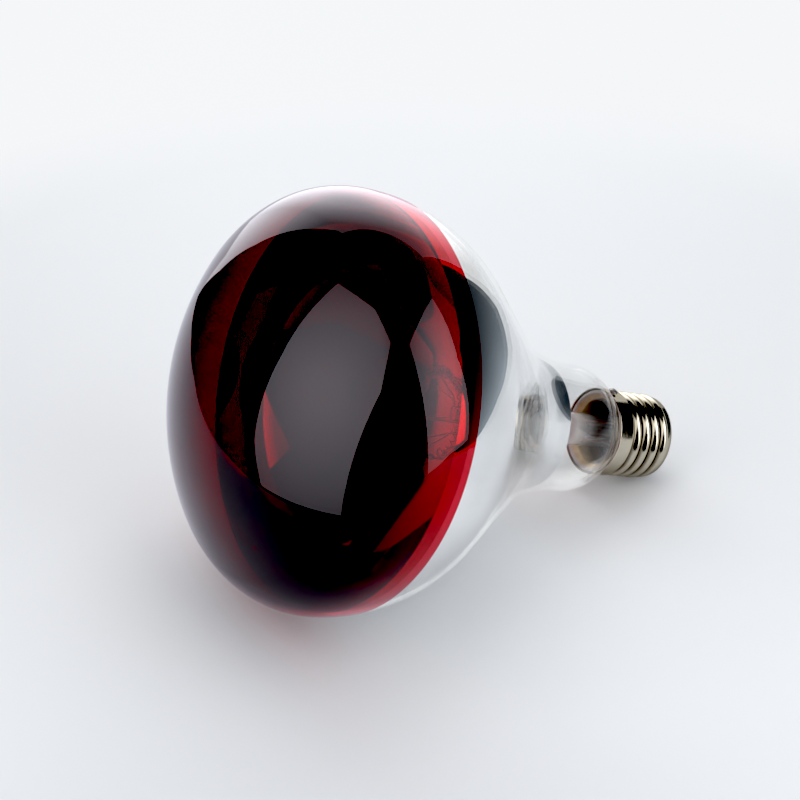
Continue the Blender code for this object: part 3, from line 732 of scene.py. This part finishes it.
def filament():
    """Coiled tungsten wire bent to a horseshoe, with a straight tail at each end."""
    steps_per_turn = 14
    steps = COIL_TURNS * steps_per_turn
    path = [around(filament_angle(0), FILAMENT_RING, FILAMENT_Z + COIL_TAIL)]
    for i in range(steps + 1):
        phase = pi / 2 + 2 * pi * i / steps_per_turn
        reach = COIL_RADIUS * min(i, steps - i, steps_per_turn) / steps_per_turn
        path.append(around(filament_angle(i / steps), FILAMENT_RING + reach * cos(phase),
                           FILAMENT_Z - reach * sin(phase)))
    path.append(around(filament_angle(1), FILAMENT_RING, FILAMENT_Z + COIL_TAIL))
    piece = tube("filament_fine", path, COIL_WIRE, tungsten, 8)
    stands_for(piece, "filament")


def support_wires():
    """Molybdenum wires from the button, each ending in an open loop around the coil."""
    loop_start, loop_sweep, loop_steps = 120, 290, 40
    for index in range(SUPPORT_COUNT):
        angle = filament_angle((index + 0.5) / SUPPORT_COUNT)
        path = [around(angle, BUTTON_RADIUS + 2 * GAP, BUTTON_Z),
                around(angle, 2 * BUTTON_RADIUS, BUTTON_Z - BUTTON_RADIUS / 3)]
        for step in range(loop_steps + 1):
            turn = radians(loop_start - loop_sweep * step / loop_steps)
            path.append(around(angle, FILAMENT_RING + LOOP_RADIUS * cos(turn),
                               FILAMENT_Z + LOOP_RADIUS * sin(turn)))
        piece = tube(f"support_wire_{index + 1}_fine", path, SUPPORT_RADIUS, molybdenum, 10)
        stands_for(piece, f"support_wire_{index + 1}")


def clamp(label, centre):
    """Nickel ferrule squeezed onto the filament's tail, with a rolled edge at each end."""
    lip = (CLAMP_RADIUS - CLAMP_BORE) / 2
    wall = (CLAMP_BORE + CLAMP_RADIUS) / 2
    middle_z = (CLAMP_START_Z + CLAMP_END_Z) / 2
    pinch_reach = 0.0011
    profile = (arc((wall, CLAMP_START_Z + lip), lip, pi, 2 * pi, radians(30))
               + arc((wall, CLAMP_END_Z - lip), lip, 0, pi, radians(30)))
    piece = turned(f"filament_clamp_{label}_fine", marked(profile), [nickel_wire], 32)
    for vertex in piece.data.vertices:
        pinch = 1 - 0.12 * fade(abs(vertex.co.z - middle_z), pinch_reach, 0)
        vertex.co.x = vertex.co.x * pinch + centre.x
        vertex.co.y += centre.y
    stands_for(piece, f"filament_clamp_{label}")


def leads():
    """Inner leads with their clamps, seal wires through the press, and outer leads."""
    press = PRESS_TOP_Z
    before, after = LEAD_STRAIGHT
    for label, side in (("a", -1), ("b", 1)):
        end = filament_angle(0 if side < 0 else 1)
        top = around(end, FILAMENT_RING, FILAMENT_Z + COIL_TAIL + GAP)
        clamp(label, top)
        piece = tube(f"inner_lead_{label}_fine",
                     eased([top + Vector((0, 0, LEAD_RADIUS)), (top.x, top.y, CLAMP_END_Z + before),
                            (0, side * LEAD_OFFSET, press - after),
                            (0, side * LEAD_OFFSET, press - GAP - LEAD_RADIUS)], LEAD_BEND),
                     LEAD_RADIUS, nickel_wire)
        stands_for(piece, f"inner_lead_{label}")
        piece = tube(f"seal_wire_{label}_fine",
                     [(0, side * LEAD_OFFSET, press + LEAD_RADIUS),
                      (0, side * LEAD_OFFSET, SEAL_END_Z - LEAD_RADIUS)],
                     LEAD_RADIUS, copper_wire)
        stands_for(piece, f"seal_wire_{label}")

    start = SEAL_END_Z + GAP
    turn_z = FLANGE_Z + TUBE_WALL + 4 * OUTER_LEAD_RADIUS
    exit_z = MOUTH_Z + SIDE_LEAD_EXIT
    over_edge = 0.0125
    piece = tube("outer_lead_contact_fine",
                 eased([(0, LEAD_OFFSET, start),
                        (0, LEAD_OFFSET, EXHAUST_TIP_Z - 2 * OUTER_LEAD_RADIUS),
                        (0, 0, INSULATOR_START - 2 * OUTER_LEAD_RADIUS),
                        (0, 0, INSULATOR_END_Z + GAP + EYELET_THICK - OUTER_LEAD_RADIUS)],
                       OUTER_LEAD_BEND),
                 OUTER_LEAD_RADIUS, copper_wire)
    stands_for(piece, "outer_lead_contact")
    piece = tube("outer_lead_side_fine",
                 eased([(0, -LEAD_OFFSET, start), (0, -LEAD_OFFSET, FLANGE_Z),
                        (0, -TAIL_RADIUS * 0.7, turn_z), (0, -SIDE_LEAD_LINE, turn_z),
                        (0, -SIDE_LEAD_LINE, exit_z + 5 * OUTER_LEAD_RADIUS),
                        (0, -over_edge, exit_z), (0, -SKIRT_RADIUS, exit_z)], OUTER_LEAD_BEND),
                 OUTER_LEAD_RADIUS, copper_wire)
    stands_for(piece, "outer_lead_side")


# -------- cap
def shell_radius(z, angle):
    """Outside of the rolled screw shell: a plain skirt, then the round E27 thread."""
    middle = (THREAD_CREST + THREAD_ROOT) / 2
    half_depth = (THREAD_CREST - THREAD_ROOT) / 2
    along = z - MOUTH_Z
    skirt = fade(along, *SKIRT_FADE)
    fade_out = fade(along, *THREAD_FADE)
    crest = CREST_FROM_MOUTH + THREAD_PITCH * (angle - THREAD_START_ANGLE) / (2 * pi)
    wave = cos(2 * pi * (along - crest) / THREAD_PITCH)
    thread = middle + half_depth * wave * (1 - skirt) * fade_out
    return SKIRT_RADIUS * skirt + thread * (1 - skirt)


def screw_shell():
    """Thin nickel-plated shell, open at both ends, its thread rolled through the sheet."""
    angles = [TOP + 2 * pi * i / CAP_SIDES for i in range(CAP_SIDES)]
    lip = arc((LIP_RADIUS, SHELL_END_FROM_MOUTH), 1, 0, pi / 2, radians(15))
    lip = [(LIP_RADIUS + (SHELL_END_RADIUS - LIP_RADIUS) * (r - LIP_RADIUS),
            SHELL_END_FROM_MOUTH + LIP_RISE * (z - SHELL_END_FROM_MOUTH)) for r, z in lip]
    edge = SHEET / 2
    bm = bmesh.new()

    def ring(z, inset, fixed=None):
        return [bm.verts.new(around(a, (fixed or shell_radius(z, a)) - inset, z)) for a in angles]

    mouth = [ring(MOUTH_Z + edge - edge * sin(a), edge - edge * cos(a))
             for a in (radians(90), radians(60), radians(30))]
    outside = [ring(MOUTH_Z + edge + i * ROW_HEIGHT, 0) for i in range(THREAD_ROWS)]
    outside += [ring(MOUTH_Z + z, 0, r) for r, z in lip]
    inside = [ring(MOUTH_Z + z - 0.0003, 0.0002, r) for r, z in lip[::-1]]
    inside += [ring(MOUTH_Z + edge + i * ROW_HEIGHT, SHEET)
               for i in reversed(range(THREAD_ROWS))]
    inner_mouth = [ring(MOUTH_Z + edge - edge * sin(a), edge + edge * cos(a))
                   for a in (radians(30), radians(60))]
    rings = mouth + outside + inside + inner_mouth
    for lower, upper in zip(rings, rings[1:] + rings[:1]):
        bridge(bm, lower, upper)
    shell = finished("screw_shell_fine", bm, [nickel_plate], radians(60))
    notch = box_tool("notch", NOTCH, (0, -SKIRT_RADIUS, MOUTH_Z))
    joined(shell, notch, "DIFFERENCE")
    stands_for(shell, "screw_shell")


def box_tool(name, size, centre):
    """A box to cut with, in the lamp's own frame."""
    bm = bmesh.new()
    bmesh.ops.create_cube(bm, size=1)
    for vertex in bm.verts:
        vertex.co = Vector(centre) + Vector(a * b for a, b in zip(vertex.co, size))
    return finished(name, bm, [])


CEMENT_START = 0.0004  # from the mouth of the cap
CEMENT_END = 0.0110
CEMENT_STEP = (0.0043, 0.0056)  # where it narrows from the skirt to the thread
CEMENT_FACE_RADIUS = 0.0121  # inner edge of its flat face
CRUMB_SIZE = 0.0009
CRUMB_HEIGHT = 0.0001
LEAD_SLOTS = (((0.0014, 0.0023, 0.014), (-0.0102, 0.006)),  # size, and y and z of the middle
              ((0.0014, 0.0060, 0.0050), (-0.0115, 0.0005)))


def basing_cement():
    """Cement between the drawn-in neck and the shell, rough where it was pressed out."""
    start = MOUTH_Z + CEMENT_START
    end = MOUTH_Z + CEMENT_END
    bore = TAIL_RADIUS + GAP
    core = THREAD_ROOT - SHEET - GAP
    skirt = SKIRT_RADIUS - SHEET - GAP
    face = CEMENT_FACE_RADIUS
    throat_z = MOUTH_Z + TAIL_CORNER
    step_start, step_end = (MOUTH_Z + z for z in CEMENT_STEP)
    front = [(face + (skirt - face) * i / 8, start) for i in range(9)]
    throat = [(bore + (face - bore) * i / 12, throat_z + (start - throat_z) * i / 12)
              for i in range(12)]
    wall = [(skirt, step_start), (core, step_end), (core, end), (bore, end)]
    bore_line = [(bore, end - (end - throat_z) * i / 24) for i in range(1, 24)]

    def crumbs(angle, radius, z):
        lump = noise.noise(around(angle, radius, z) / CRUMB_SIZE)
        on_bore = radius <= bore + CRUMB_HEIGHT
        return CRUMB_HEIGHT * (lump / 2 if on_bore else lump - 1)

    ring = turned("basing_cement_fine", marked(front + wall + bore_line + throat), [cement_tan],
                  CAP_SIDES, crumbs)
    for size, (y, z) in LEAD_SLOTS:
        joined(ring, box_tool("slot", size, (0, y, MOUTH_Z + z)), "DIFFERENCE")
    stands_for(ring, "basing_cement")


def cap_insulator():
    """Black glass that closes the shell and carries the centre contact, with fire-rounded edges."""
    inside = LIP_RADIUS - GAP / 3
    throat = LIP_RADIUS - 2 * GAP
    lip_z = MOUTH_Z + SHELL_END_FROM_MOUTH
    end = INSULATOR_END_Z
    shoulder = 0.0009
    soft = 0.0004
    taper = radians(70)
    profile = ([(INSULATOR_BORE, INSULATOR_START), (inside, INSULATOR_START), (inside, lip_z - GAP / 3),
                (throat, lip_z + 2 * GAP)]
               + arc((throat - shoulder, lip_z + 5 * GAP), shoulder, 0, taper)
               + arc((CONTACT_RADIUS + 2 * GAP, end - soft), soft, taper, pi / 2)
               + [(INSULATOR_BORE, end)])
    piece = turned("cap_insulator_fine", marked(profile), [black_glass], CAP_SIDES)
    stands_for(piece, "cap_insulator")


DROP_RADIUS = 0.0030
DROP_ROUNDING = 0.0007
DROP_LUMP = 0.00012
DROP_LUMP_SIZE = 0.002


def centre_contact():
    """Plated eyelet in the insulator's end, and the solder that closes it over the lead."""
    start = INSULATOR_END_Z + GAP
    plate_end = start + EYELET_THICK
    bore = INSULATOR_BORE - 0.0002
    soft = 0.0002
    rim = arc((CONTACT_RADIUS - soft, plate_end - soft), soft, 0, pi / 2, radians(30))
    piece = turned("contact_eyelet_fine",
                   marked([(bore, start), (CONTACT_RADIUS, start)] + rim + [(bore, plate_end)]),
                   [nickel_plate], 96)
    stands_for(piece, "contact_eyelet")
    foot = plate_end + GAP
    top = MOUTH_Z + LAMP_END
    swell = [(DROP_RADIUS - DROP_ROUNDING * (1 - cos(a)), foot + (top - foot) * sin(a))
             for a in (radians(d) for d in range(0, 91, 10))]

    def drip(angle, radius, z):
        return DROP_LUMP * noise.noise(around(angle, radius, z) / DROP_LUMP_SIZE)

    piece = turned("contact_solder_fine", marked([(0, foot)] + swell + [(0, top)]), [solder], 64, drip)
    stands_for(piece, "contact_solder")


def side_solder():
    """Solder blob on the skirt, over the end of the side lead; its foot is cut flat."""
    size = Vector((0.0015, 0.0008, 0.0013))
    centre = Vector((0, -SKIRT_RADIUS - GAP - size.y / 2, MOUTH_Z + 0.0011))
    foot = 0.3
    bm = bmesh.new()
    bmesh.ops.create_icosphere(bm, subdivisions=5, radius=1)
    bmesh.ops.bisect_plane(bm, geom=bm.verts[:] + bm.edges[:] + bm.faces[:], dist=SAME_POINT,
                           plane_co=(0, foot, 0), plane_no=(0, 1, 0), clear_outer=True)
    bmesh.ops.holes_fill(bm, edges=[e for e in bm.edges if e.is_boundary], sides=0)
    for vertex in bm.verts:
        lump = 1 + (0.10 * noise.noise(vertex.co * 1.7) if vertex.co.y < foot - 0.05 else 0)
        vertex.co = centre + vertex.co * size * lump
    piece = finished("side_solder_fine", bm, [solder])
    stands_for(piece, "side_solder")


# -------- stage
# outlines of flat boards, (across, up); the table is finite, because the lamp mirrors its edges
TABLE_OUTLINE = [(-0.47, 0.16), (-0.20, 0.37), (-0.11, 0.29), (-0.06, 0.275), (0.0, 0.30),
                 (0.09, 0.315), (0.15, 0.27), (0.20, 0.20), (0.47, 0.15), (0.50, 0.04),
                 (0.44, -0.20), (0.14, -0.28), (-0.09, -0.272), (-0.17, -0.245), (-0.27, -0.20),
                 (-0.29, -0.12), (-0.26, -0.045), (-0.47, -0.033)]
FLOOR_OUTLINE = [(-4.0, -4.0), (4.0, -4.0), (4.0, 4.0), (-4.0, 4.0)]
SOFTBOX_FRONT = [(-0.150, -0.205), (-0.115, -0.313), (0.148, -0.286), (0.133, 0.283),
                 (-0.219, 0.259), (-0.165, 0.0)]
SOFTBOX_RIGHT = [(-0.164, -0.265), (0.131, -0.278), (0.148, -0.145), (0.206, 0.259),
                 (-0.168, 0.286)]
BACKDROP = [(0.235, -0.335), (0.300, -0.24), (0.345, -0.095), (0.41, 0.405), (-0.36, 0.365),
            (-0.35, -0.095), (-0.29, -0.27), (-0.27, -0.335)]

TABLE_WHITE = ((0.870, 0.875, 0.882), (0.852, 0.860, 0.870))
FAR_PALE = (0.917, 0.933, 0.949)
FLOOR_HEIGHT = 0.0002  # the far floor lies just over the table
TABLE_FADE = (0.235, 0.285)  # distances from the origin, table to far floor

PANEL_GLOW = 3.4  # full radiance of the panels that the lamp mirrors
DIM_SHARE = 0.62  # what is left of it at a dim corner
DIM_REACH = (0.12, 0.30)  # distances from that corner, dimmest to full


def board(name, outline, material, height=0.0):
    """One flat polygon of the stage."""
    mesh = bpy.data.meshes.new(name)
    mesh.from_pydata([(x, y, height) for x, y in outline], [], [range(len(outline))])
    mesh.materials.append(material)
    piece = bpy.data.objects.new(name, mesh)
    bpy.context.scene.collection.objects.link(piece)
    return piece


def table():
    """White table top of finite size, with faintly uneven white."""
    n = material_nodes("table_white")
    white = n.set(n.add("ShaderNodeBsdfDiffuse"), Color=n.mottled(0.15, TABLE_WHITE))
    board("table", TABLE_OUTLINE, n.show(white.outputs["BSDF"]))


def far_floor():
    """Pale floor round the table, shown to the camera only, so that no view looks at an edge."""
    n = material_nodes("far_floor_pale")
    dimmer = tuple(c * 0.985 for c in FAR_PALE)
    glow = n.set(n.add("ShaderNodeEmission"), Color=n.mottled(0.4, (FAR_PALE, dimmer)))
    distance = n.measure("LENGTH", n.add("ShaderNodeTexCoord").outputs["Object"])
    shader = n.mix(n.span(distance, 0, 1, *TABLE_FADE), n.transparent((1, 1, 1, 1)),
                   glow.outputs["Emission"])
    floor = board("far_floor", FLOOR_OUTLINE, n.show(shader), FLOOR_HEIGHT)
    floor.visible_diffuse = False
    floor.visible_glossy = False
    floor.visible_transmission = False
    floor.visible_volume_scatter = False
    floor.visible_shadow = False


def plane_at(azimuth, bottom, top):
    """Placement of a panel that stands at an azimuth, from +Y towards +X, facing the lamp.

    bottom and top are (distance, height); the panel's own y axis runs from the first to the second.
    """
    out = Vector((sin(azimuth), cos(azimuth), 0))
    low = out * bottom[0] + Vector((0, 0, bottom[1]))
    high = out * top[0] + Vector((0, 0, top[1]))
    y_axis = (high - low).normalized()
    x_axis = y_axis.cross(out).normalized()
    placed = Matrix((x_axis, y_axis, x_axis.cross(y_axis))).transposed().to_4x4()
    placed.translation = (low + high) / 2
    return placed


def seen_panel(name, placed, outline, edge_share, middle=(0, 0), reach=(0.04, 0.32),
               dim_corner=None):
    """A bright panel that only shows in reflections and through glass.

    From the middle, its glow falls to edge_share of the full one between the two distances of
    reach.  Round a dim_corner it is dimmed further.
    """
    n = material_nodes(name)
    place = n.add("ShaderNodeTexCoord").outputs["Object"]
    strength = n.span(n.measure("DISTANCE", place, (*middle, 0)), PANEL_GLOW,
                      PANEL_GLOW * edge_share, *reach)
    if dim_corner:
        shade = n.span(n.measure("DISTANCE", place, (*dim_corner, 0)), DIM_SHARE, 1, *DIM_REACH)
        strength = n.math("MULTIPLY", strength, shade)
    glow = n.set(n.add("ShaderNodeEmission"), Strength=strength,
                 Color=n.mottled(0.2, ((1, 1, 1), (0.97, 0.97, 0.97))))
    panel = board(name, outline, n.show(glow.outputs["Emission"]))
    panel.matrix_world = placed
    panel.visible_camera = False
    panel.visible_diffuse = False
    panel.visible_shadow = False


def fill_light(name, placed, width, height, radiance, colour=(1, 1, 1), shadow=True):
    """A soft rectangular light that lights matt surfaces and shows in no reflection."""
    light = bpy.data.lights.new(name, "AREA")
    light.shape = "RECTANGLE"
    light.size = width
    light.size_y = height
    light.color = colour
    light.energy = 4 * width * height * radiance
    light.use_shadow = shadow
    lamp = bpy.data.objects.new(name, light)
    bpy.context.scene.collection.objects.link(lamp)
    lamp.matrix_world = placed
    lamp.visible_glossy = False
    lamp.visible_transmission = False


ROOM = (0.012, 0.09)  # how bright the room is in reflections, and as light on matt surfaces
ROOM_TINT = (0.90, 1.0, 1.10)
GLOW = 0.14  # low glow of the room ahead, at the level of the table
GLOW_FALL = -4.8  # how fast it falls with height
GLOW_AZIMUTH = radians(5)
GLOW_WIDTH = (0.70, 1.0)  # cosine from that azimuth, no glow to full glow


def surroundings():
    """A room that is pale for the camera and dark for all else but a low glow ahead."""
    n = Nodes(bpy.data.worlds.new("studio"), "ShaderNodeOutputWorld")
    path = n.add("ShaderNodeLightPath")
    direction = n.add("ShaderNodeTexCoord").outputs["Generated"]
    height = n.set(n.add("ShaderNodeSeparateXYZ"), Vector=direction).outputs["Z"]
    low = n.math("MULTIPLY", n.math("EXPONENT", n.math("MULTIPLY", height, GLOW_FALL)), GLOW)
    toward = n.measure("DOT_PRODUCT", direction, (sin(GLOW_AZIMUTH), cos(GLOW_AZIMUTH), 0))
    room = n.span(path.outputs["Is Diffuse Ray"], *ROOM, 0, 1)
    strength = n.math("MULTIPLY_ADD", low, n.span(toward, 0, 1, *GLOW_WIDTH), room)
    dark = n.set(n.add("ShaderNodeBackground"), Color=(*ROOM_TINT, 1), Strength=strength)
    pale = n.set(n.add("ShaderNodeBackground"), Color=(*FAR_PALE, 1))
    bpy.context.scene.world = n.show(n.mix(path.outputs["Is Camera Ray"],
                                           dark.outputs["Background"], pale.outputs["Background"]))


VIEW_AZIMUTH = radians(61.17)
VIEW_ELEVATION = radians(34.27)
VIEW_DISTANCE = 0.9
VIEW_TARGET = Vector((0.0065, -0.0165, 0.0587))
VIEW_LENS = 139.38  # mm, with a sensor 36 mm wide


def camera():
    """A long lens from the front right, looking down at the lamp."""
    data = bpy.data.cameras.new("camera")
    data.sensor_width = 36
    data.lens = VIEW_LENS
    data.clip_start = 0.05
    data.clip_end = 20
    view = bpy.data.objects.new("camera", data)
    bpy.context.scene.collection.objects.link(view)
    back = Vector((sin(VIEW_AZIMUTH) * cos(VIEW_ELEVATION),
                   -cos(VIEW_AZIMUTH) * cos(VIEW_ELEVATION), sin(VIEW_ELEVATION)))
    view.location = VIEW_TARGET + back * VIEW_DISTANCE
    view.rotation_euler = (-back).to_track_quat("-Z", "Y").to_euler()
    bpy.context.scene.camera = view


# azimuth, and (distance, height) of the lower and the upper edge of each panel or fill
FRONT_PLACE = (radians(175), (0.450, -0.040), (0.230, 0.520))
RIGHT_PLACE = (radians(64), (0.430, 0.0), (0.190, 0.490))
BACKDROP_PLACE = (radians(-62), (0.400, 0.0), (0.400, 0.500))
BEHIND_PLACE = (radians(-62), (0.400, 0.0), (0.400, 0.690))
ABOVE_PLACE = (radians(-62), (-0.120, 0.780), (0.460, 0.720))
OVERHEAD = (0, 0, 1.0)
COOL = (0.985, 1, 1.03)


def panels():
    """Two leaning softboxes and a backdrop as the lamp mirrors them, and the fills for matt surfaces."""
    front = plane_at(*FRONT_PLACE)
    right = plane_at(*RIGHT_PLACE)
    seen_panel("softbox_front", front, SOFTBOX_FRONT, 0.5)
    seen_panel("softbox_right", right, SOFTBOX_RIGHT, 0.5)
    seen_panel("backdrop", plane_at(*BACKDROP_PLACE), BACKDROP, 0.37, middle=(0.07, -0.02),
               reach=(0.10, 0.36), dim_corner=(-0.30, -0.26))
    fill_light("fill_front", front, 0.365, 0.60, 0.94, COOL)
    fill_light("fill_right", right, 0.365, 0.55, 0.95, COOL)
    fill_light("fill_behind", plane_at(*BEHIND_PLACE), 0.780, 0.69, 1.11)
    fill_light("fill_above", plane_at(*ABOVE_PLACE), 0.60, 0.58, 0.67, COOL)
    fill_light("fill_bounce", Matrix.Translation(OVERHEAD), 1.0, 1.0, 0.62, COOL, shadow=False)


BLACK = 0.045  # black level of the view


def studio():
    """Table, floor, panels and fills, room and camera, and how the view shows them."""
    table()
    far_floor()
    panels()
    surroundings()
    camera()
    scene = bpy.context.scene
    scene.view_settings.view_transform = "Standard"
    scene.view_settings.use_curve_mapping = True
    scene.view_settings.curve_mapping.black_level = (BLACK, BLACK, BLACK)
    scene.view_settings.curve_mapping.update()
    scene.cycles.transparent_max_bounces = 32
    scene.cycles.glossy_bounces = 8


# -------- build
glass_envelope()
red_front_coating()
mirror_coating()
stem_flare()
exhaust_tube()
arbor()
filament()
support_wires()
leads()
screw_shell()
basing_cement()
cap_insulator()
centre_contact()
side_solder()
studio()
